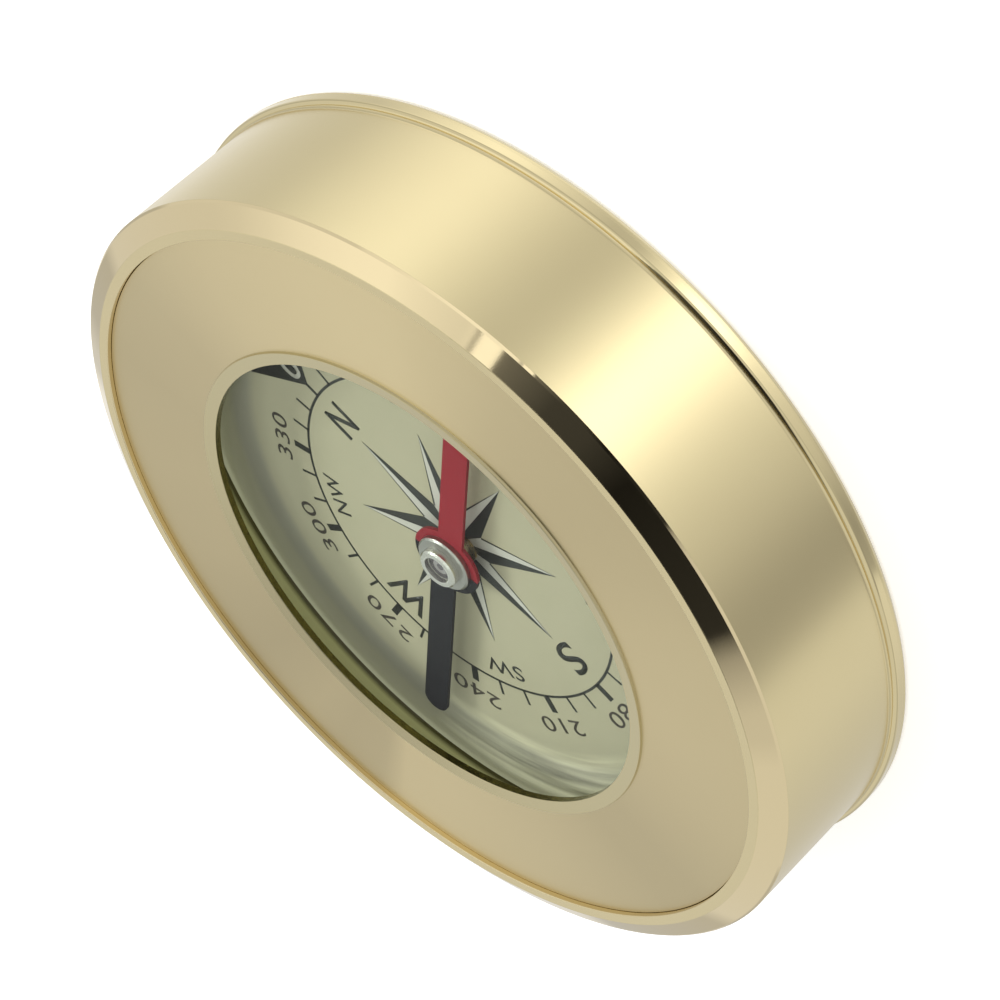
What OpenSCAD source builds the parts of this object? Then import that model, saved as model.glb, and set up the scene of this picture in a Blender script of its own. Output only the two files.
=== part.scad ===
// Round pocket compass with a free-turning needle. Millimetres, +Z up.
// It lies on its back cover: the origin is the centre of the back, the face looks up,
// north on the dial is +Y and east is +X.

/* [Case] */
// Diameter of the satin case wall
case_d = 49; // [48.6:0.1:49.4]
// Diameter of the back cover's flange
cover_d = 49.7; // [49.6:0.1:50.6]
// Height from the back to the top of the rim
case_h = 10.3; // [10.1:0.1:11.5]
// Diameter of the rim's bore, which takes the face ring
rim_bore_d = 45; // [44.4:0.1:45.2]
// Width of the flat land on top of the rim
rim_land = 0.61; // [0.4:0.01:0.8]
// Drop of the polished chamfer round the rim
rim_drop = 0.61; // [0.4:0.01:0.9]
// Diameter of the bore that holds the works
inner_bore_d = 43; // [42.6:0.1:43.4]

/* [Face] */
// Diameter of the round window
window_d = 29.2; // [27:0.1:31]
// Depth of the satin face below the rim
face_step = 0.3; // [0.2:0.05:0.4]
// Width of the raised polished bead round the window
bead_w = 0.83; // [0.5:0.01:1.2]
// Height of the bead above the satin face
bead_h = 0.15; // [0.1:0.01:0.2]
// Thickness of the face ring at its outer edge
face_t = 1.2; // [1:0.05:1.4]
// Thickness of the lip over the glass
lip_t = 0.38; // [0.3:0.01:0.6]

/* [Glass and spacer] */
// Diameter of the window glass
glass_d = 41.4; // [41:0.1:41.8]
// Thickness of the window glass
glass_t = 1; // [0.8:0.05:1.2]
// Thickness of the gasket between lip and glass
gasket_t = 0.15; // [0.1:0.05:0.25]
// Inside diameter of the spacer ring round the dial
spacer_bore_d = 40; // [38:0.1:40.2]

/* [Dial] */
// Depth of the dial's face below the rim
dial_depth = 4.66; // [4.6:0.01:5]
// Thickness of the printed dial card
card_t = 0.3; // [0.2:0.05:0.4]
// Thickness of the dial plate under the card
plate_t = 1; // [0.8:0.05:1.2]

/* [Needle] */
// Bearing of the needle's red half on the dial, in degrees
needle_bearing = 69.5; // [0:0.5:359.5]
// Length of the needle from tip to tip
needle_l = 29.4; // [26:0.1:32]
// Width of the needle's blade
needle_w = 1.65; // [1.2:0.05:2]
// Sideways set of each half from the needle's centre line
needle_set = 0.16; // [0:0.02:0.3]
// Thickness of the needle's blade
needle_t = 0.2; // [0.15:0.05:0.25]
// Diameter of the round centre of the blade
needle_eye_d = 4.4; // [4.2:0.1:5]
// Diameter of the hub cap
hub_d = 2.46; // [2.3:0.02:2.6]
// Depth of the hub's top below the rim
hub_depth = 2.5; // [2.35:0.05:2.5]

/* [Hidden] */
$fn = 128;
eps = 0.01;
GOLD = [0.78, 0.70, 0.52];

// Case and cover
case_r = case_d / 2;
cover_r = cover_d / 2;
rim_bore_r = rim_bore_d / 2;
inner_r = inner_bore_d / 2;
cover_top = 1.1;                          // top of the flange, where the case wall stands
front_break = 0.15;                       // chamfer round the front of the flange
back_break = 0.3;                         // chamfer round the back
foot = 0.1;                               // flare at the foot of the case wall
rim_break = 0.12;                         // edge break outside the rim's chamfer
spigot_r = inner_r - 0.1;
spigot_bore_r = spigot_r - 2;
spigot_top = 3;
seal_r = 0.38;                            // half the thickness of the seal
seal_z = 1.95;

// Face, glass and spacer
face_z = case_h - face_step;
shelf_z = face_z - face_t;                // shoulder that the face ring sits on
lip_z = face_z - lip_t;
face_r = rim_bore_r - 0.02;
window_r = window_d / 2;
bead_wall = 0.05;                         // width of the bead's steep outer wall
bead_drop = 0.11;                         // fall of the bead towards the window
glass_r = glass_d / 2;
glass_top = lip_z - gasket_t;
glass_z = glass_top - glass_t;
glass_break = 0.15;
gasket_bore_r = window_r + 1;
spacer_bore_r = spacer_bore_d / 2;
loose_r = inner_r - 0.1;                  // pieces that drop into the inner bore

// Dial and pivot
dial_z = case_h - dial_depth;
plate_top = dial_z - card_t;
plate_z = plate_top - plate_t;
card_r = spacer_bore_r - 0.15;
bush_r = 1;
bush_flange_r = 1.6;
bush_flange_t = 0.4;
bush_top = dial_z + 0.16;
pin_r = 0.4;
tip_r = 0.05;
pin_foot = plate_z - 0.2;
ring_t = 1.1;                             // thickness of the retaining ring
ring_bore_r = 18.5;
notch_w = 1.6;                            // spanner notches in the retaining ring
notch_depth = 1.2;

// Needle, in its own axis
blade_z = dial_z + 1.16;
blade_top = blade_z + needle_t;
hub_r = hub_d / 2;
hub_top = case_h - hub_depth;
hub_spigot_r = 1;
hub_bore_r = 0.62;
jewel_r = 0.8;
jewel_z = hub_top - 0.9;
jewel_top = hub_top - 0.3;
cup_r = 0.45;
cup_top = jewel_z + 0.5;
collar_r = 1.75;
collar_t = 0.35;

// A tube of the given radii standing on z
module tube(r_out, r_in, z_low, z_high) {
  translate([0, 0, z_low])
    difference() {
      cylinder(r = r_out, h = z_high - z_low);
      translate([0, 0, -1])
        cylinder(r = r_in, h = z_high - z_low + 2);
    }
}

// Case wall with its inward shelf and the polished rim chamfer
module case_body() {
  color(GOLD)
    rotate_extrude()
      polygon([
        [inner_r, cover_top],
        [case_r + foot, cover_top],
        [case_r, cover_top + foot],
        [case_r, case_h - rim_drop - rim_break],
        [case_r - rim_break, case_h - rim_drop],
        [rim_bore_r + rim_land, case_h],
        [rim_bore_r, case_h],
        [rim_bore_r, shelf_z],
        [inner_r, shelf_z]
      ]);
}

// Satin face with a raised bead round the window and a seat for the glass behind it
module face_ring() {
  seat_r = glass_r + 0.1;
  bead_r = window_r + bead_w;
  color(GOLD)
    rotate_extrude()
      polygon([
        [seat_r, shelf_z],
        [face_r, shelf_z],
        [face_r, face_z],
        [bead_r, face_z],
        [bead_r - bead_wall, face_z + bead_h],
        [window_r, face_z + bead_h - bead_drop],
        [window_r, lip_z],
        [seat_r, lip_z]
      ]);
}

module window_gasket() {
  color([0.08, 0.08, 0.07])
    tube(glass_r - 0.1, gasket_bore_r, glass_top, lip_z);
}

// Flat glass with broken edges
module window_glass() {
  color([0.85, 0.92, 0.88, 0.35])
    rotate_extrude()
      polygon([
        [0, glass_z],
        [glass_r - glass_break, glass_z],
        [glass_r, glass_z + glass_break],
        [glass_r, glass_top - glass_break],
        [glass_r - glass_break, glass_top],
        [0, glass_top]
      ]);
}

// Wall round the dial, which also clamps the glass against the lip
module spacer_ring() {
  color(GOLD)
    tube(loose_r, spacer_bore_r, plate_top, glass_z);
}

module dial_card() {
  color([0.80, 0.82, 0.66])
    tube(card_r, bush_r + 0.05, plate_top, dial_z);
}

module dial_plate() {
  color([0.72, 0.72, 0.70])
    tube(loose_r, bush_r, plate_z, plate_top);
}

// Flanged bush that carries the pivot pin up through the plate and card
module pivot_bush() {
  color([0.72, 0.58, 0.30])
    difference() {
      union() {
        translate([0, 0, plate_z - bush_flange_t])
          cylinder(r = bush_flange_r, h = bush_flange_t);
        translate([0, 0, plate_z])
          cylinder(r = bush_r, h = bush_top - plate_z);
      }
      translate([0, 0, pin_foot])
        cylinder(r = pin_r, h = bush_top - pin_foot + 1);
    }
}

// Steel pin, ground to a fine point that stands in the jewel's cup
module pivot_pin() {
  shank_top = jewel_z - 0.15;
  point_top = cup_top - 0.05;
  color([0.62, 0.62, 0.64])
    rotate_extrude()
      polygon([
        [0, pin_foot],
        [pin_r, pin_foot],
        [pin_r, shank_top],
        [tip_r, point_top],
        [0, point_top]
      ]);
}

// Ring that holds the dial plate and spacer up, with two spanner notches
module retaining_ring() {
  color([0.70, 0.62, 0.45])
    difference() {
      tube(loose_r, ring_bore_r, plate_z - ring_t, plate_z);
      for (side = [-1, 1])
        translate([side * ring_bore_r - notch_depth, -notch_w / 2, plate_z - ring_t - 1])
          cube([2 * notch_depth, notch_w, 1 + ring_t / 2]);
    }
}

module cover_seal() {
  color([0.07, 0.07, 0.07])
    rotate_extrude()
      translate([inner_r - seal_r - 0.02, seal_z])
        circle(r = seal_r, $fn = 32);
}

// Flanged back with a polished front edge, a spigot and a groove for the seal
module back_cover() {
  groove_r = inner_r - 2 * seal_r - 0.06;
  groove_half = seal_r + 0.05;
  color(GOLD)
    rotate_extrude()
      polygon([
        [0, 0],
        [cover_r - 0.8 * back_break, 0],
        [cover_r, back_break],
        [cover_r, cover_top - front_break],
        [cover_r - front_break, cover_top],
        [spigot_r, cover_top],
        [spigot_r, seal_z - groove_half],
        [groove_r, seal_z - groove_half],
        [groove_r, seal_z + groove_half],
        [spigot_r, seal_z + groove_half],
        [spigot_r, spigot_top],
        [spigot_bore_r, spigot_top],
        [spigot_bore_r, cover_top],
        [0, cover_top]
      ]);
}

// Outline of the blade: two round-ended halves, each set a little to its own side, and a round centre
module blade_outline() {
  tip_x = (needle_l - needle_w) / 2;
  for (side = [-1, 1])
    translate([0, -side * needle_set]) {
      translate([side * tip_x, 0])
        circle(d = needle_w);
      translate([side * tip_x / 2, 0])
        square([tip_x, needle_w], center = true);
    }
  circle(d = needle_eye_d);
}

// The red half lies on the needle's own +X, turned here to its bearing
module needle_place() {
  rotate([0, 0, 90 - needle_bearing])
    children();
}

module needle_blade() {
  color([0.60, 0.14, 0.17])
    needle_place()
      translate([0, 0, blade_z])
        difference() {
          linear_extrude(needle_t)
            blade_outline();
          translate([0, 0, -1])
            cylinder(r = hub_spigot_r, h = needle_t + 2);
        }
}

// Turned cap: a spigot riveted through the blade, and a raised seat for the jewel
module hub_cap() {
  rivet_z = blade_z - 0.08;
  edge = 0.1;
  color([0.70, 0.69, 0.66])
    rotate_extrude()
      polygon([
        [hub_bore_r, rivet_z],
        [hub_spigot_r, rivet_z],
        [hub_spigot_r, blade_top],
        [hub_r, blade_top],
        [hub_r, hub_top - edge],
        [hub_r - edge, hub_top],
        [jewel_r + 0.03, hub_top],
        [jewel_r + 0.03, jewel_top],
        [jewel_r, jewel_top],
        [jewel_r, jewel_z],
        [hub_bore_r, jewel_z]
      ]);
}

// Washer that spreads the rivet's load over the blade
module hub_collar() {
  edge = 0.1;
  color([0.60, 0.59, 0.56])
    rotate_extrude()
      polygon([
        [hub_r, blade_top],
        [collar_r, blade_top],
        [collar_r, blade_top + collar_t - edge],
        [collar_r - edge, blade_top + collar_t],
        [hub_r, blade_top + collar_t]
      ]);
}

// Jewel with a conical cup that turns on the pin's point
module jewel_bearing() {
  color([0.25, 0.22, 0.24])
    difference() {
      translate([0, 0, jewel_z])
        cylinder(r = jewel_r, h = jewel_top - jewel_z);
      translate([0, 0, jewel_z - eps])
        cylinder(r1 = cup_r, r2 = 0.1, h = cup_top - jewel_z + eps);
    }
}

case_body();
face_ring();
window_gasket();
spacer_ring();
dial_card();
dial_plate();
pivot_bush();
pivot_pin();
retaining_ring();
cover_seal();
back_cover();
needle_blade();
hub_cap();
hub_collar();
jewel_bearing();
window_glass();
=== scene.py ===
"""Looks of a round pocket compass on the CAD frame: turned gold case, printed dial, painted needle."""

import math
from types import SimpleNamespace

import bmesh
import bpy
from mathutils import Matrix, Vector


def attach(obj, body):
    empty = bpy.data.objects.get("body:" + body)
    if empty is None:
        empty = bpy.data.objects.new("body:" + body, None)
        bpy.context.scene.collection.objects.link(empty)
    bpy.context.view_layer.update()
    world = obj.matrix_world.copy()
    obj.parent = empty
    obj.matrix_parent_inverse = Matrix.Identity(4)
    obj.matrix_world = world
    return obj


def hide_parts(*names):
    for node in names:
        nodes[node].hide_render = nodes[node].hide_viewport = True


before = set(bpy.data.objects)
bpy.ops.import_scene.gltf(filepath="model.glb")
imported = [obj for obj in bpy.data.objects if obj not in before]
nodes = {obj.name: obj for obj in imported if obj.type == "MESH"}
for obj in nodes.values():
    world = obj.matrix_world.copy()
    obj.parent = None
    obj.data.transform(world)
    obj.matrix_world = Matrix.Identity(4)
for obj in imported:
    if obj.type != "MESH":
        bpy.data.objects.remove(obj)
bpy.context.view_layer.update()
MM = 0.001

# Sizes in millimetres, as the CAD model has them
CASE_R, CASE_H, RIM_BORE_R, SEAT_R, SEAT_Z = 24.5, 10.3, 22.5, 21.5, 8.8
CHAMFER_Z, CHAMFER_IN_R = 9.69, 23.11
FACE_R, FACE_IN_R, FACE_Z = 22.48, 20.8, 10.0
BEAD_R, BEAD_IN_Z, WINDOW_R, LIP_Z = 15.43, 10.04, 14.6, 9.62
COVER_R, COVER_Z = 24.85, 1.1
SPIGOT_R, SPIGOT_IN_R, SPIGOT_Z = 21.4, 19.4, 3.0
GROOVE_R, GROOVE_LOW, GROOVE_HIGH = 20.68, 1.52, 2.38
DIAL_Z = 5.64
NEEDLE_ANGLE = math.radians(90 - 69.5)      # the red half's, from +X


# ---------------------------------------------------------------- nodes

def feed(nt, socket, value):
    """Links the input to value if that is an output, and otherwise sets it; a colour has three numbers."""
    if isinstance(value, bpy.types.NodeSocket):
        nt.links.new(value, socket)
    elif socket.type == "RGBA":
        socket.default_value = (*value, 1.0)
    else:
        socket.default_value = value


def fill(nt, n, **values):
    """Feeds a node's inputs, whose names have _ for a space here, and sets its other settings."""
    for key, value in values.items():
        name = key.replace("_", " ")
        if name in n.inputs:
            feed(nt, n.inputs[name], value)
        else:
            setattr(n, key, value)
    return n


def node(nt, kind, **values):
    return fill(nt, nt.nodes.new(kind), **values)


def maths(nt, operation, a, b=None):
    n = node(nt, "ShaderNodeMath", operation=operation)
    feed(nt, n.inputs[0], a)
    if b is not None:
        feed(nt, n.inputs[1], b)
    return n.outputs[0]


def plus(nt, a, b):
    return maths(nt, "ADD", a, b)


def minus(nt, a, b):
    return maths(nt, "SUBTRACT", a, b)


def times(nt, a, b):
    return maths(nt, "MULTIPLY", a, b)


def below(nt, a, b):
    return maths(nt, "LESS_THAN", a, b)


def above(nt, a, b):
    return maths(nt, "GREATER_THAN", a, b)


def weighed(nt, a, share_a, b, share_b):
    """The sum of two values, each times its share."""
    return plus(nt, times(nt, a, share_a), times(nt, b, share_b))


def toward(nt, share, a, b):
    """a where share is 0 and b where it is 1."""
    return plus(nt, a, times(nt, share, minus(nt, b, a)))


def scaled(nt, vector, factor):
    """A vector or colour times a number."""
    return node(nt, "ShaderNodeVectorMath", operation="SCALE", Vector=vector, Scale=factor).outputs[0]


def join(nt, x, y):
    n = nt.nodes.new("ShaderNodeCombineXYZ")
    feed(nt, n.inputs[0], x)
    feed(nt, n.inputs[1], y)
    return n.outputs[0]


def position(nt):
    """The point on the piece in its own space, in millimetres, as a vector."""
    return scaled(nt, nt.nodes.new("ShaderNodeTexCoord").outputs["Object"], 1 / MM)


def polar(nt):
    """The point's radius, angle and height, in millimetres and radians, and the point itself."""
    p = position(nt)
    x, y, z = node(nt, "ShaderNodeSeparateXYZ", Vector=p).outputs
    r = maths(nt, "SQRT", plus(nt, times(nt, x, x), times(nt, y, y)))
    return r, maths(nt, "ARCTAN2", y, x), z, p


def degrees(nt, angle):
    return times(nt, angle, 180 / math.pi)


def noise(nt, vector, scale, detail=3.0, rough=0.5):
    n = node(nt, "ShaderNodeTexNoise", Vector=vector, Scale=scale, Detail=detail, Roughness=rough)
    return n.outputs["Fac"]


def spread(nt, value, low, high):
    """value from 0..1 to low..high."""
    return node(nt, "ShaderNodeMapRange", Value=value, To_Min=low, To_Max=high).outputs[0]


def spread_from(nt, value, low, high):
    """value from low..high to 0..1, held at 0 and 1 outside."""
    n = node(nt, "ShaderNodeMapRange", clamp=True, Value=value, From_Min=low, From_Max=high)
    return n.outputs[0]


def stop_band(nt, value, lo, hi, soft_by):
    """1 between lo and hi, falling to 0 over soft_by outside."""
    return times(nt, spread_from(nt, value, lo - soft_by, lo), spread_from(nt, value, hi + soft_by, hi))


def curve(nt, value, first, last, stops, most=1.0):
    """A number by a value from first to last: stops are (value, number), and no number is over most."""
    n = nt.nodes.new("ShaderNodeValToRGB")
    elements = n.color_ramp.elements
    for i, (x, number) in enumerate(stops):
        place, level = (x - first) / (last - first), number / most
        e = elements[i] if i < 2 else elements.new(place)
        e.position, e.color = place, (level, level, level, 1.0)
    feed(nt, n.inputs[0], spread_from(nt, value, first, last))
    return times(nt, n.outputs[0], most)


def colour_mix(nt, factor, a, b):
    n = node(nt, "ShaderNodeMix", data_type="RGBA")
    for place, value in ((0, factor), (6, a), (7, b)):
        feed(nt, n.inputs[place], value)
    return n.outputs[2]


def mix_shader(nt, factor, a, b):
    n = nt.nodes.new("ShaderNodeMixShader")
    for socket, value in zip(n.inputs, (factor, a.outputs[0], b.outputs[0])):
        feed(nt, socket, value)
    return n


# ---------------------------------------------------------------- materials

def new_material(name):
    """A node material with only one Principled shader and the output that it is linked to."""
    mat = bpy.data.materials.new(name)
    mat.use_nodes = True
    nt = mat.node_tree
    nt.nodes.clear()
    out = nt.nodes.new("ShaderNodeOutputMaterial")
    bsdf = nt.nodes.new("ShaderNodeBsdfPrincipled")
    nt.links.new(bsdf.outputs[0], out.inputs[0])
    return mat, nt, bsdf


def bump(nt, bsdf, height, depth):
    """Relief of the given depth in millimetres."""
    b = node(nt, "ShaderNodeBump", Strength=1.0, Distance=depth * MM, Height=height)
    fill(nt, bsdf, Normal=b.outputs[0])


def brush(nt, bsdf, amount, rotation=0.0):
    """Draws out the highlights as rings round the axis do."""
    tangent = node(nt, "ShaderNodeTangent", direction_type="RADIAL", axis="Z").outputs[0]
    fill(nt, bsdf, Anisotropic=amount, Anisotropic_Rotation=rotation, Tangent=tangent)


def turned_gold(name, colour, deep, rough, rough_by, grain, lines, along="r", aniso=0.0, finish_and_painted_light=None):
    """Gold-anodised aluminium from a lathe, with fine rings and a blasted grain.

    The rings lie along the height or the radius, lines to a millimetre, and grain is their depth. The
    roughness is rough, give or take rough_by. The last argument returns the colour and roughness of each
    surface: its polish and, on some surfaces, painted shade, sheen and glow.
    """
    mat, nt, bsdf = new_material(name)
    r, a, z, p = polar(nt)
    ring = noise(nt, join(nt, times(nt, z if along == "z" else r, lines), times(nt, a, 0.8)), 1.0, 4.0, 0.6)
    cloud, fine = noise(nt, p, 0.22), noise(nt, p, 14.0, 2.0, 0.6)
    shade = colour_mix(nt, weighed(nt, cloud, 0.6, ring, 0.4), deep, colour)
    roughness = spread(nt, weighed(nt, ring, 0.6, fine, 0.4), rough - rough_by, rough + rough_by)
    fill(nt, bsdf, Metallic=1.0)
    if finish_and_painted_light:
        shade, roughness = finish_and_painted_light(nt, bsdf, SimpleNamespace(r=r, a=a, z=z), shade, roughness)
    fill(nt, bsdf, Base_Color=shade, Roughness=roughness)
    if aniso:
        brush(nt, bsdf, aniso, 0.25)
    bump(nt, bsdf, weighed(nt, ring, 0.5, fine, 0.5), grain)
    return mat


GOLD, GOLD_DEEP = (0.79, 0.683, 0.402), (0.75, 0.637, 0.366)
CHAMFER_GOLD, BEAD_GOLD = (0.82, 0.69, 0.42), (0.62, 0.55, 0.325)
FACE_GOLD, FACE_DEEP = (0.73, 0.62, 0.366), (0.70, 0.59, 0.341)
# The wall's olive is partly its own colour and partly the green dial mirrored in its gold: a painted
# reflection
OLIVE, OLIVE_DEEP = (0.52, 0.51, 0.26), (0.42, 0.41, 0.20)
BRASS, BRASS_DEEP = (0.72, 0.56, 0.28), (0.62, 0.46, 0.2)
# Painted shade for the lip's wall and the wall's corner at the dial, and painted glow for the wall
LIP_PAINTED_SHADE, CORNER_DARK = (0.17, 0.145, 0.045), (0.085, 0.075, 0.025)
WALL_GLOW, CORNER_GLOW = (0.50, 0.48, 0.24), (0.04, 0.035, 0.01)
# The card's grey is a painted band of shade and reflection near its edge
CARD, CARD_DEEP, CARD_PAINTED_SHADE_GREY = (0.46, 0.44, 0.30), (0.405, 0.388, 0.256), (0.30, 0.295, 0.245)

# Painted sheen of the turned face round the dial, a factor on its colour in place of its highlights: (angle
# from +X in degrees, factor)
PAINTED_SHEEN = (
    (-180, 1.01), (-173, 0.94), (-165, 0.94), (-160, 1.16), (-153, 1.14), (-133, 1.02), (-113, 0.90),
    (-103, 0.84), (-93, 0.83), (-73, 0.96), (-53, 1.07), (-33, 1.16), (-13, 1.15), (7, 1.15), (17, 1.20),
    (27, 1.22), (47, 1.14), (67, 1.05), (87, 0.90), (107, 0.88), (127, 0.96), (147, 1.0), (167, 0.93),
    (180, 1.01))

# Glow of the card, in place of light thrown back by the wall: (radius, strength)
GLOW = ((10.0, 0.0), (12.2, 0.03), (14.2, 0.08), (15.3, 0.065), (16.3, 0.045), (17.4, 0.055), (18.4, 0.085),
        (19.2, 0.12), (19.6, 0.22))


def face_wear(nt, bsdf, spot, shade, rough):
    """The bead round the window is polished, the face's colour gets a painted sheen by angle, and the lip's
    wall is painted dark for shade.
    """
    bead = below(nt, spot.r, BEAD_R + 0.01)
    # Painted shade on the lip's wall below the bead
    lip = times(nt, below(nt, spot.r, WINDOW_R + 0.04), below(nt, spot.z, BEAD_IN_Z - 0.02))
    # Painted sheen: the face's colour scaled by angle in place of its highlights
    face = scaled(nt, shade, curve(nt, degrees(nt, spot.a), -180, 180, PAINTED_SHEEN, 2.0))
    colour = colour_mix(nt, lip, colour_mix(nt, bead, face, BEAD_GOLD), LIP_PAINTED_SHADE)
    return colour, plus(nt, times(nt, bead, -0.14), rough)


def wall_wear(nt, bsdf, spot, shade, rough):
    """Less metallic, with a faint painted glow for light thrown back, and painted shade in the corner at the
    dial.
    """
    # Painted shade towards the corner at the dial, where the painted glow fades too
    corner = minus(nt, 1.0, spread_from(nt, spot.z, DIAL_Z + 0.1, DIAL_Z + 0.42))
    glow = colour_mix(nt, corner, WALL_GLOW, CORNER_GLOW)
    fill(nt, bsdf, Metallic=0.35, Emission_Strength=0.19, Emission_Color=glow)
    return colour_mix(nt, corner, shade, CORNER_DARK), rough


def edge_wear(nt, bsdf, spot, shade, rough):
    """Polished chamfer and land at the rim, satin wall below."""
    land = above(nt, spot.z, CASE_H - 0.02)
    chamfer = times(nt, above(nt, spot.z, CHAMFER_Z - 0.11), minus(nt, 1.0, land))
    change = weighed(nt, chamfer, -0.205, land, -0.02)
    rough = maths(nt, "MAXIMUM", plus(nt, rough, change), 0.04)
    return colour_mix(nt, chamfer, shade, CHAMFER_GOLD), rough


def cover_wear(nt, bsdf, spot, shade, rough):
    """Polished front edge on the flange, turned back."""
    change = times(nt, above(nt, spot.z, 0.5), -0.16)
    return shade, maths(nt, "MAXIMUM", plus(nt, rough, change), 0.05)


mat_case = turned_gold("satin_gold", GOLD, GOLD_DEEP, rough=0.25, rough_by=0.02, grain=0.0004, lines=30.0,
                       along="z", finish_and_painted_light=edge_wear)
mat_face = turned_gold("face_gold", FACE_GOLD, FACE_DEEP, rough=0.36, rough_by=0.03, grain=0.0012,
                       lines=26.0, aniso=0.55, finish_and_painted_light=face_wear)
mat_cover = turned_gold("cover_gold", GOLD, GOLD_DEEP, rough=0.26, rough_by=0.04, grain=0.001, lines=20.0,
                        aniso=0.3, finish_and_painted_light=cover_wear)
mat_inner = turned_gold("inner_gold", OLIVE, OLIVE_DEEP, rough=0.42, rough_by=0.05, grain=0.0008,
                        lines=30.0, along="z", finish_and_painted_light=wall_wear)
mat_brass = turned_gold("turned_brass", BRASS, BRASS_DEEP, rough=0.28, rough_by=0.08, grain=0.001,
                        lines=24.0)


def rubber():
    mat, nt, bsdf = new_material("black_rubber")
    n = noise(nt, position(nt), 6.0, 4.0)
    colour = colour_mix(nt, n, (0.015, 0.015, 0.014), (0.05, 0.05, 0.045))
    fill(nt, bsdf, Base_Color=colour, Roughness=spread(nt, n, 0.6, 0.8))
    bump(nt, bsdf, n, 0.004)
    return mat


def metal(name, light, dark, rough):
    """Plain metal from a lathe."""
    mat, nt, bsdf = new_material(name)
    r, _, z, _ = polar(nt)
    ring = noise(nt, join(nt, times(nt, r, 14.0), times(nt, z, 14.0)), 1.0)
    fill(nt, bsdf, Base_Color=colour_mix(nt, ring, dark, light), Metallic=1.0,
         Roughness=spread(nt, ring, rough - 0.05, rough + 0.07))
    brush(nt, bsdf, 0.5)
    bump(nt, bsdf, ring, 0.002)
    return mat


def card():
    """Matte coated cream-green card with paper fibre and mottling, a painted grey band of shade and
    reflection near its edge, and a painted glow with streaks of light.
    """
    mat, nt, bsdf = new_material("dial_card")
    r, a, _, p = polar(nt)
    mottle, fibre = noise(nt, p, 0.35), noise(nt, p, 9.0, 4.0, 0.65)
    coat = colour_mix(nt, weighed(nt, mottle, 0.6, fibre, 0.4), CARD_DEEP, CARD)
    # Painted grey band: the lip's shade on the card, with a grey reflection over it
    painted_grey_shade = times(nt, stop_band(nt, r, 15.9, 16.9, 0.7), spread(nt, mottle, 0.5, 0.9))
    # Painted streaks of light thrown back by the wall, soft, in the south-west, by radius and angle
    painted_light_patch = times(nt, stop_band(nt, r, 15.2, 18.4, 0.9), stop_band(nt, a, -2.55, -1.95, 0.3))
    rings = noise(nt, join(nt, times(nt, r, 1.6), times(nt, a, 1.5)), 1.0)
    painted_light_streak = times(nt, painted_light_patch, spread_from(nt, rings, 0.28, 1.5))
    fill(nt, bsdf, Base_Color=colour_mix(nt, painted_grey_shade, coat, CARD_PAINTED_SHADE_GREY), Roughness=spread(nt, fibre, 0.5, 0.68),
         Emission_Color=(1.0, 0.99, 0.70), Emission_Strength=plus(nt, curve(nt, r, 10.0, 20.0, GLOW), painted_light_streak))
    bump(nt, bsdf, fibre, 0.003)
    return mat


def ink(name, dark, light):
    mat, nt, bsdf = new_material(name)
    n = noise(nt, position(nt), 11.0)
    fill(nt, bsdf, Base_Color=colour_mix(nt, n, dark, light), Roughness=spread(nt, n, 0.39, 0.53))
    bump(nt, bsdf, n, 0.001)
    return mat


def needle_paint():
    """Red lacquer on the north half and black on the south half, split across the hub."""
    mat, nt, bsdf = new_material("needle_paint")
    p = position(nt)
    along = node(nt, "ShaderNodeVectorMath", operation="DOT_PRODUCT", Vector=p)
    along.inputs[1].default_value = (math.cos(NEEDLE_ANGLE), math.sin(NEEDLE_ANGLE), 0.0)
    wander = times(nt, minus(nt, noise(nt, p, 1.5), 0.5), 0.3)
    north = above(nt, plus(nt, along.outputs["Value"], wander), 0.0)
    n = noise(nt, p, 3.0, 4.0)
    red = colour_mix(nt, n, (0.24, 0.016, 0.024), (0.30, 0.024, 0.033))
    black = colour_mix(nt, n, (0.006, 0.006, 0.008), (0.016, 0.016, 0.019))
    fill(nt, bsdf, Base_Color=colour_mix(nt, north, black, red), Roughness=spread(nt, n, 0.42, 0.55),
         Specular_IOR_Level=0.1)
    bump(nt, bsdf, noise(nt, p, 2.5, 2.0), 0.0008)
    return mat


def jewel():
    """Dark polished stone, with a paler ring painted where the cup for the pin begins: a painted highlight.
    """
    mat, nt, bsdf = new_material("jewel")
    r, _, _, p = polar(nt)
    n = noise(nt, p, 3.0)
    stone = colour_mix(nt, n, (0.035, 0.03, 0.036), (0.085, 0.07, 0.08))
    # Painted highlight round the rim of the cup
    ring = stop_band(nt, r, 0.24, 0.46, 0.03)
    fill(nt, bsdf, Base_Color=colour_mix(nt, ring, stone, (0.24, 0.23, 0.22)),
         Roughness=spread(nt, n, 0.08, 0.16), IOR=1.76)
    return mat


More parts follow.
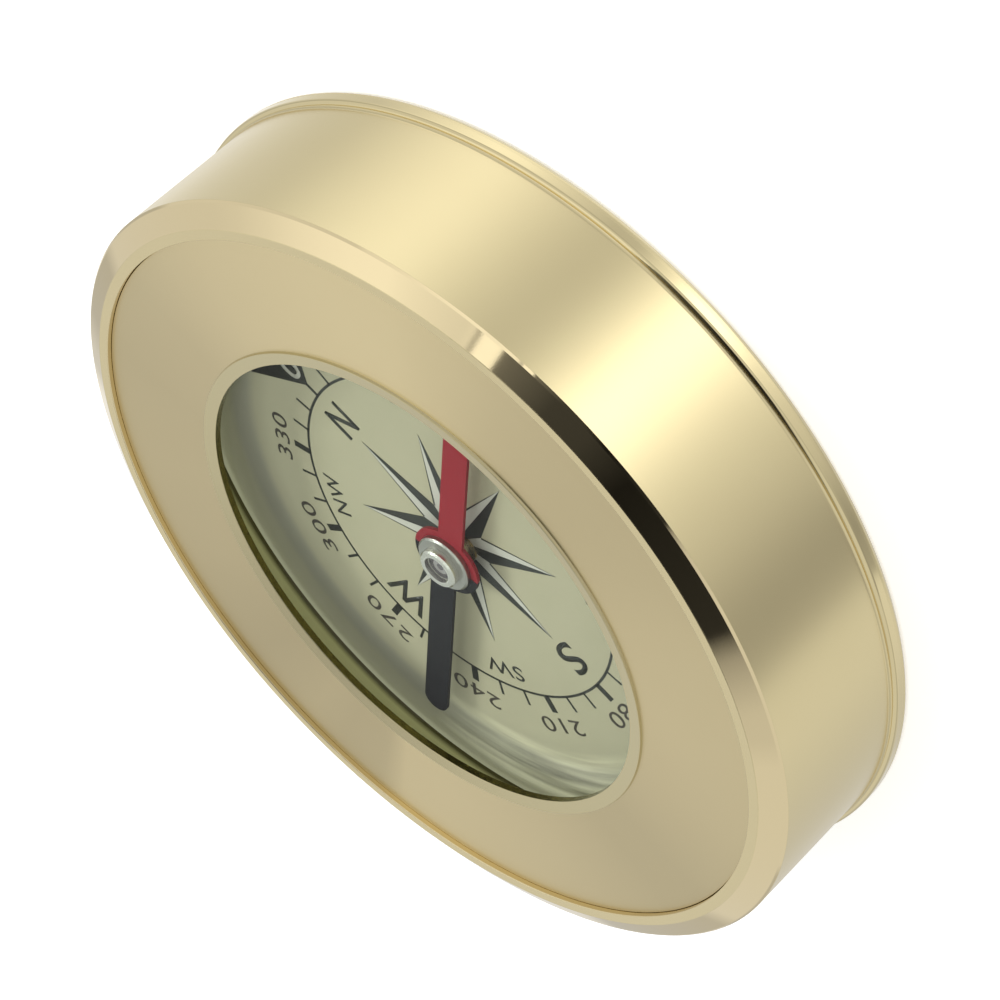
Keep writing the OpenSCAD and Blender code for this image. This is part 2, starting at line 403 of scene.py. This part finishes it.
def glass():
    """Clear mineral glass: it bends what is seen through it, and lamps and soft light pass it straight."""
    mat, nt, bsdf = new_material("clear_glass")
    out = bsdf.outputs[0].links[0].to_node
    nt.nodes.remove(bsdf)
    dust = noise(nt, position(nt), 0.5, 5.0, 0.6)
    tint = colour_mix(nt, dust, (0.955, 0.985, 0.955), (0.985, 1.0, 0.985))
    bend = node(nt, "ShaderNodeBsdfRefraction", Color=tint, Roughness=0.0, IOR=1.49)
    shine = node(nt, "ShaderNodeBsdfGlossy", Color=(1.0, 1.0, 1.0), Roughness=0.02)
    fresnel = node(nt, "ShaderNodeFresnel", IOR=1.49).outputs[0]
    pane = mix_shader(nt, times(nt, fresnel, 0.12), bend, shine)
    path = nt.nodes.new("ShaderNodeLightPath")
    straight = maths(nt, "MAXIMUM", path.outputs["Is Shadow Ray"], path.outputs["Is Diffuse Ray"])
    both = mix_shader(nt, straight, pane, nt.nodes.new("ShaderNodeBsdfTransparent"))
    nt.links.new(both.outputs[0], out.inputs[0])
    return mat


mat_rubber = rubber()
mat_nickel = metal("hub_nickel", (0.74, 0.72, 0.68), (0.60, 0.58, 0.54), 0.24)
mat_collar = metal("collar_nickel", (0.50, 0.49, 0.46), (0.36, 0.35, 0.33), 0.3)
mat_steel = metal("ground_steel", (0.58, 0.58, 0.60), (0.44, 0.44, 0.46), 0.22)
mat_alu = metal("plain_aluminium", (0.78, 0.78, 0.77), (0.66, 0.66, 0.65), 0.32)
mat_card = card()
mat_ink = ink("dial_ink", (0.008, 0.010, 0.008), (0.022, 0.024, 0.018))
mat_figure_ink = ink("dial_figure_ink", (0.030, 0.026, 0.020), (0.085, 0.072, 0.055))
mat_white_ink = ink("dial_white_ink", (0.50, 0.50, 0.43), (0.58, 0.58, 0.50))


def dress(obj, mat):
    obj.data.materials.clear()
    obj.data.materials.append(mat)


for name, mat, slot in (
    ("window_gasket", mat_rubber, "black_rubber"), ("cover_seal", mat_rubber, "black_rubber"),
    ("window_glass", glass(), "clear_glass"), ("spacer_ring", mat_inner, "inner_gold"),
    ("dial_card", mat_card, "dial_print"), ("dial_plate", mat_alu, "plain_aluminium"),
    ("pivot_bush", mat_brass, "turned_brass"), ("pivot_pin", mat_steel, "ground_steel"),
    ("retaining_ring", mat_brass, "turned_brass"), ("needle_blade", needle_paint(), "needle_paint"),
    ("hub_cap", mat_nickel, "hub_nickel"), ("hub_collar", mat_collar, "hub_nickel"),
    ("jewel_bearing", jewel(), "jewel"),
):
    dress(nodes[name], mat)


# ---------------------------------------------------------------- turned pieces

def add_object(name, data):
    o = bpy.data.objects.new(name, data)
    bpy.context.scene.collection.objects.link(o)
    return o


def rounded(corners):
    """Points and outward normals of a closed counter-clockwise outline; a corner is (r, z, radius)."""
    out, n = [], len(corners)
    for i in range(n):
        p = Vector(corners[i][:2])
        a, b = Vector(corners[i - 1][:2]), Vector(corners[(i + 1) % n][:2])
        into, away = (p - a).normalized(), (b - p).normalized()
        turn = math.atan2(into.x * away.y - into.y * away.x, into.dot(away))
        first = Vector((into.y, -into.x))
        radius, side = corners[i][2], math.copysign(1, turn)
        centre = p - into * (radius * math.tan(abs(turn) / 2)) - first * radius * side
        steps = max(2, int(abs(math.degrees(turn)) / 9) + 1)
        for k in range(steps + 1):
            c, s = math.cos(turn * k / steps), math.sin(turn * k / steps)
            normal = Vector((first.x * c - first.y * s, first.x * s + first.y * c))
            out.append((centre + normal * radius * side, normal))
    return out


def lathe(name, corners, mat, replaced, segments=288):
    """A ring turned from a closed outline, in millimetres, with exact normals."""
    profile = rounded(corners)
    m = len(profile)
    verts, faces, normals = [], [], []
    for s in range(segments):
        a = 2 * math.pi * s / segments
        c, d = math.cos(a), math.sin(a)
        for p, n in profile:
            verts.append((p.x * c * MM, p.x * d * MM, p.y * MM))
            normals.append((n.x * c, n.x * d, n.y))
    for s in range(segments):
        t = (s + 1) % segments
        for i in range(m):
            j = (i + 1) % m
            if (profile[i][0] - profile[j][0]).length > 1e-7:
                faces.append((s * m + i, t * m + i, t * m + j, s * m + j))
    me = bpy.data.meshes.new(name)
    me.from_pydata(verts, [], faces)
    me.polygons.foreach_set("use_smooth", [True] * len(me.polygons))
    me.update()
    me.normals_split_custom_set_from_vertices(normals)
    o = add_object(name, me)
    dress(o, mat)
    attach(o, "case")
    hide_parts(replaced)


soft, fine, tiny = 0.06, 0.03, 0.015        # radii of the broken edges
lathe("case_shell", [
    (SEAT_R, COVER_Z, tiny), (CASE_R + 0.1, COVER_Z, 0.004), (CASE_R, COVER_Z + 0.1, 0.28),
    (CASE_R, CHAMFER_Z - 0.12, tiny), (CASE_R - 0.12, CHAMFER_Z, tiny), (CHAMFER_IN_R, CASE_H, soft),
    (RIM_BORE_R, CASE_H, soft), (RIM_BORE_R, SEAT_Z, fine), (SEAT_R, SEAT_Z, fine),
], mat_case, "case_body")
lathe("face_plate", [
    (FACE_IN_R, SEAT_Z, fine), (FACE_R, SEAT_Z, fine), (FACE_R, FACE_Z, fine), (BEAD_R, FACE_Z, 0.01),
    (BEAD_R - 0.05, FACE_Z + 0.15, fine), (WINDOW_R, BEAD_IN_Z, fine), (WINDOW_R, LIP_Z, fine),
    (FACE_IN_R, LIP_Z, fine),
], mat_face, "face_ring")
lathe("rear_cover", [
    (0.0, 0.0, 0.0), (COVER_R - 0.24, 0.0, soft), (COVER_R, 0.3, 0.2), (COVER_R, COVER_Z - 0.15, 0.25),
    (COVER_R - 0.15, COVER_Z, 0.25), (SPIGOT_R, COVER_Z, tiny), (SPIGOT_R, GROOVE_LOW, tiny),
    (GROOVE_R, GROOVE_LOW, tiny), (GROOVE_R, GROOVE_HIGH, tiny), (SPIGOT_R, GROOVE_HIGH, tiny),
    (SPIGOT_R, SPIGOT_Z, fine), (SPIGOT_IN_R, SPIGOT_Z, fine), (SPIGOT_IN_R, COVER_Z, fine),
    (0.0, COVER_Z, 0.0),
], mat_cover, "back_cover")


# ---------------------------------------------------------------- printed dial

PRINT_SHIFT = 0.45      # the print sits slightly towards north on its card
PRINT_T = 0.012
RING_R, RING_W = 10.77, 0.16
STAR_R, STAR_IN, OUTLINE_W = 7.35, 2.35, 0.13
SCALE_Z, MARK_Z, ROSE_Z, ZERO_Z = DIAL_Z + 0.002, DIAL_Z + 0.003, DIAL_Z + 0.004, DIAL_Z + 0.012


def printed(name, bm, mat):
    """The finished mesh as one printed piece of the dial."""
    me = bpy.data.meshes.new(name)
    bm.to_mesh(me)
    bm.free()
    o = add_object(name, me)
    dress(o, mat)
    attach(o, "case")


def flat_piece(name, polygons, mat, z, thick=PRINT_T):
    """One thin printed layer from polygons in millimetres on the dial."""
    bm = bmesh.new()
    for poly in polygons:
        low, high = ([bm.verts.new((x * MM, (y + PRINT_SHIFT) * MM, level * MM)) for x, y in poly]
                     for level in (z, z + thick))
        bm.faces.new(high)
        bm.faces.new(low[::-1])
        for i in range(len(poly)):
            j = (i + 1) % len(poly)
            bm.faces.new((low[i], low[j], high[j], high[i]))
    bm.normal_update()
    printed(name, bm, mat)


def at(bearing, r, side=0.0):
    """A point at that radius on the dial's bearing, and side millimetres clockwise of it."""
    b = math.radians(bearing)
    return (r * math.sin(b) + side * math.cos(b), r * math.cos(b) - side * math.sin(b))


def bar(bearing, r0, r1, width):
    w = width / 2
    return [at(bearing, r1, -w), at(bearing, r1, w), at(bearing, r0, w), at(bearing, r0, -w)]


def arc(b0, b1, r, width):
    w = width / 2
    return [at(b1, r + w), at(b0, r + w), at(b0, r - w), at(b1, r - w)]


scale_lines = [arc(2.5 * k, 2.5 * (k + 1), RING_R, RING_W) for k in range(144)]
for k in range(36):
    if k % 3:
        scale_lines.append(bar(10 * k, RING_R, 11.85, 0.17))
    elif k:
        scale_lines.append(bar(10 * k, RING_R, 11.95, 0.46))
scale_lines.append(bar(0, RING_R, 11.7, 0.24))
flat_piece("dial_scale", scale_lines, mat_ink, SCALE_Z)
north_mark = [at(0, 11.55), (-3.7, 14.6), (-2.6, 14.95), (2.6, 14.95), (3.7, 14.6)]
flat_piece("north_mark", [north_mark], mat_ink, MARK_Z)

dark, light, outline = [], [], []
for k in range(8):
    b = 45 * k
    tip, cw, ccw = at(b, STAR_R), at(b + 22.5, STAR_IN), at(b - 22.5, STAR_IN)
    dark.append([tip, (0, 0), cw])
    light.append([tip, ccw, (0, 0)])
    # A thin dark band inside the light half's outer edge
    e = Vector(ccw) - Vector(tip)
    inward = Vector((-e.y, e.x)).normalized() * OUTLINE_W
    outline.append([tip, ccw, tuple(Vector(ccw) + inward)])
flat_piece("rose_light", light, mat_white_ink, SCALE_Z, 0.008)
flat_piece("rose_dark", dark + outline, mat_ink, ROSE_Z)


def text_mesh(name, text, bold):
    """Text as a flat mesh; bold is how far its outline moves out, for a size of 1."""
    c = bpy.data.curves.new(name, "FONT")
    c.body, c.size, c.align_x, c.offset, c.space_character = text, 1.0, "CENTER", bold, 1.08
    o = add_object(name, c)
    bpy.context.view_layer.update()
    me = bpy.data.meshes.new_from_object(o.evaluated_get(bpy.context.evaluated_depsgraph_get()))
    bpy.data.objects.remove(o)
    bpy.data.curves.remove(c)
    return me


def lettering(name, entries, mat, z, bold=0.0):
    """Figures or letters round the dial: (text, bearing, radius, cap height, width), tops outwards."""
    bm = bmesh.new()
    for text, bearing, r, high, wide in entries:
        me = text_mesh(name, text, bold)
        xs, ys = [v.co.x for v in me.vertices], [v.co.y for v in me.vertices]
        cx, cy = (min(xs) + max(xs)) / 2, (min(ys) + max(ys)) / 2
        sx, sy = wide / (max(xs) - min(xs)), high / (max(ys) - min(ys))
        for v in me.vertices:
            x, y = at(bearing, (v.co.y - cy) * sy + r, (v.co.x - cx) * sx)
            v.co = (x * MM, (y + PRINT_SHIFT) * MM, z * MM)
        bm.from_mesh(me)
        bpy.data.meshes.remove(me)
    bmesh.ops.remove_doubles(bm, verts=bm.verts, dist=1e-7)
    for f in bm.faces:
        if f.normal.z < 0:
            f.normal_flip()
    grown = bmesh.ops.extrude_face_region(bm, geom=list(bm.faces))
    for v in grown["geom"]:
        if isinstance(v, bmesh.types.BMVert):
            v.co.z += PRINT_T * MM
    bmesh.ops.recalc_face_normals(bm, faces=bm.faces)
    printed(name, bm, mat)


lettering("dial_letters", [
    ("N", 0, 8.9, 2.1, 1.7), ("E", 90, 8.85, 2.1, 1.45), ("S", 180, 8.85, 2.15, 1.65),
    ("W", 270, 8.9, 2.1, 2.85),
], mat_ink, SCALE_Z, 0.012)
lettering("dial_half_letters", [
    ("NE", 45, 9.65, 1.1, 2.6), ("SE", 135, 9.65, 1.1, 2.5), ("SW", 225, 9.45, 1.1, 2.8),
    ("NW", 315, 9.45, 1.1, 2.9),
], mat_ink, SCALE_Z, 0.004)
lettering("dial_figures", [(str(b), b, 12.9, 1.1, 2.4 if b < 100 else 3.5) for b in range(30, 360, 30)],
          mat_figure_ink, SCALE_Z)
lettering("north_zero", [("0", 0, 13.0, 1.7, 1.35)], mat_white_ink, ZERO_Z, 0.01)


# ---------------------------------------------------------------- studio

# Reflected brightness near and below the horizon: (azimuth in degrees, brightness)
LOW = (
    (-180, 0.84), (-143, 0.67), (-123, 0.72), (-103, 0.84), (-86, 0.87), (-82.5, 0.80), (-80, 0.47),
    (-67, 0.40), (-59, 0.48), (-47, 0.68), (-31, 0.86), (-20, 1.13), (-6, 2.08), (2, 2.12), (11, 1.13),
    (21, 0.66), (29, 0.64), (41, 0.86), (49, 1.03), (57, 1.25), (66, 1.31), (76, 1.19), (89, 0.98),
    (99, 0.82), (107, 0.72), (130, 0.80), (155, 1.0), (180, 0.88))
# The dark gap overhead with a bright strip at its side: (direction's y, brightness)
OVERHEAD = (
    (-0.6, 0.76), (-0.46, 0.68), (-0.425, 0.52), (-0.40, 0.40), (-0.365, 0.03), (-0.1, 0.012), (0.0, 0.05),
    (0.08, 0.055), (0.154, 0.13), (0.197, 0.18), (0.20, 1.25), (0.243, 1.25), (0.2435, 0.5), (0.25, 0.5),
    (0.255, 0.98))
# The bright panel beside it: (direction's z, brightness)
PANEL = ((0.5, 0.76), (0.553, 0.76), (0.61, 0.80), (0.672, 0.89), (0.73, 1.0), (0.777, 1.07), (0.82, 1.12),
         (0.865, 1.13), (0.93, 0.90), (1.0, 0.70))
MOST, TENT, AMBIENT = 2.5, 0.78, 0.78


def studio():
    """A pale tent whose full pattern only reflections see."""
    world = bpy.data.worlds.new("studio")
    world.use_nodes = True
    nt = world.node_tree
    nt.nodes.clear()
    out = nt.nodes.new("ShaderNodeOutputWorld")
    coord = nt.nodes.new("ShaderNodeTexCoord")
    x, y, z = node(nt, "ShaderNodeSeparateXYZ", Vector=coord.outputs["Generated"]).outputs
    low = curve(nt, degrees(nt, maths(nt, "ARCTAN2", y, x)), -180, 180, LOW, MOST)
    overhead = curve(nt, y, -0.6, 0.4, OVERHEAD, MOST)
    panel = curve(nt, z, 0.5, 1.0, PANEL, MOST)
    in_panel = stop_band(nt, y, 0.25, 0.72, 0.02)
    in_gap = times(nt, stop_band(nt, y, -0.6, 0.25, 0.02), stop_band(nt, z, 0.72, 1.1, 0.05))
    upper = toward(nt, in_gap, toward(nt, in_panel, TENT, panel), overhead)
    mirrored = toward(nt, stop_band(nt, z, -1.1, -0.10, 0.08), upper, low)
    haze = minus(nt, 1.0, times(nt, stop_band(nt, z, -0.14, 0.14, 0.05), 0.27))
    ambient = node(nt, "ShaderNodeBackground", Color=(1.0, 1.0, 0.99), Strength=AMBIENT)
    reflected = node(nt, "ShaderNodeBackground", Color=(1.0, 1.0, 1.0), Strength=times(nt, mirrored, haze))
    glossy = nt.nodes.new("ShaderNodeLightPath").outputs["Is Glossy Ray"]
    nt.links.new(mix_shader(nt, glossy, ambient, reflected).outputs[0], out.inputs[0])
    return world


def lamp(name, direction, distance, size, power):
    """A square soft light that looks at the middle of the dial and isn't mirrored in anything."""
    data = bpy.data.lights.new(name, "AREA")
    data.shape, data.size, data.energy = "SQUARE", size, power
    o = add_object(name, data)
    d = Vector(direction).normalized()
    o.location = Vector((0, 0, 0.005)) + d * distance
    o.rotation_mode = "QUATERNION"
    o.rotation_quaternion = d.to_track_quat("Z", "Y")
    o.visible_camera = o.visible_glossy = False


def pale_floor():
    """White paper board with a weak glow."""
    mat, nt, bsdf = new_material("pale_floor")
    tone = noise(nt, position(nt), 0.02)
    fill(nt, bsdf, Base_Color=colour_mix(nt, tone, (0.90, 0.90, 0.895), (0.93, 0.93, 0.925)), Roughness=0.9,
         Specular_IOR_Level=0.1, Emission_Color=(1.0, 1.0, 1.0), Emission_Strength=0.35)
    bm = bmesh.new()
    bmesh.ops.create_grid(bm, x_segments=8, y_segments=8, size=1.5)
    me = bpy.data.meshes.new("floor")
    bm.to_mesh(me)
    bm.free()
    me.materials.append(mat)
    floor = add_object("floor", me)
    floor.visible_glossy = False


def camera(place, right, up, lens):
    """A camera at a place in metres, by its directions to the right and up."""
    data = bpy.data.cameras.new("camera")
    data.lens, data.sensor_width = lens, 36.0
    data.clip_start, data.clip_end = 0.01, 20.0
    o = add_object("camera", data)
    right = Vector(right).normalized()
    back = right.cross(Vector(up).normalized()).normalized()
    axes = Matrix((right, back.cross(right), back)).transposed().to_4x4()
    o.matrix_world = Matrix.Translation(Vector(place)) @ axes
    return o


bpy.context.scene.world = studio()
lamp("key", (-0.15, 0.75, 0.9), 0.45, 0.16, 0.75)
lamp("fill", (0.5, -0.2, 0.9), 0.6, 0.4, 0.6)
pale_floor()
bpy.context.scene.camera = camera((0.1671, -0.0083, 0.09085), right=(0.30675, -0.69466, -0.65066),
                                  up=(0.35384, 0.71785, -0.59957), lens=126.0)
bpy.context.scene.view_settings.view_transform = "Standard"
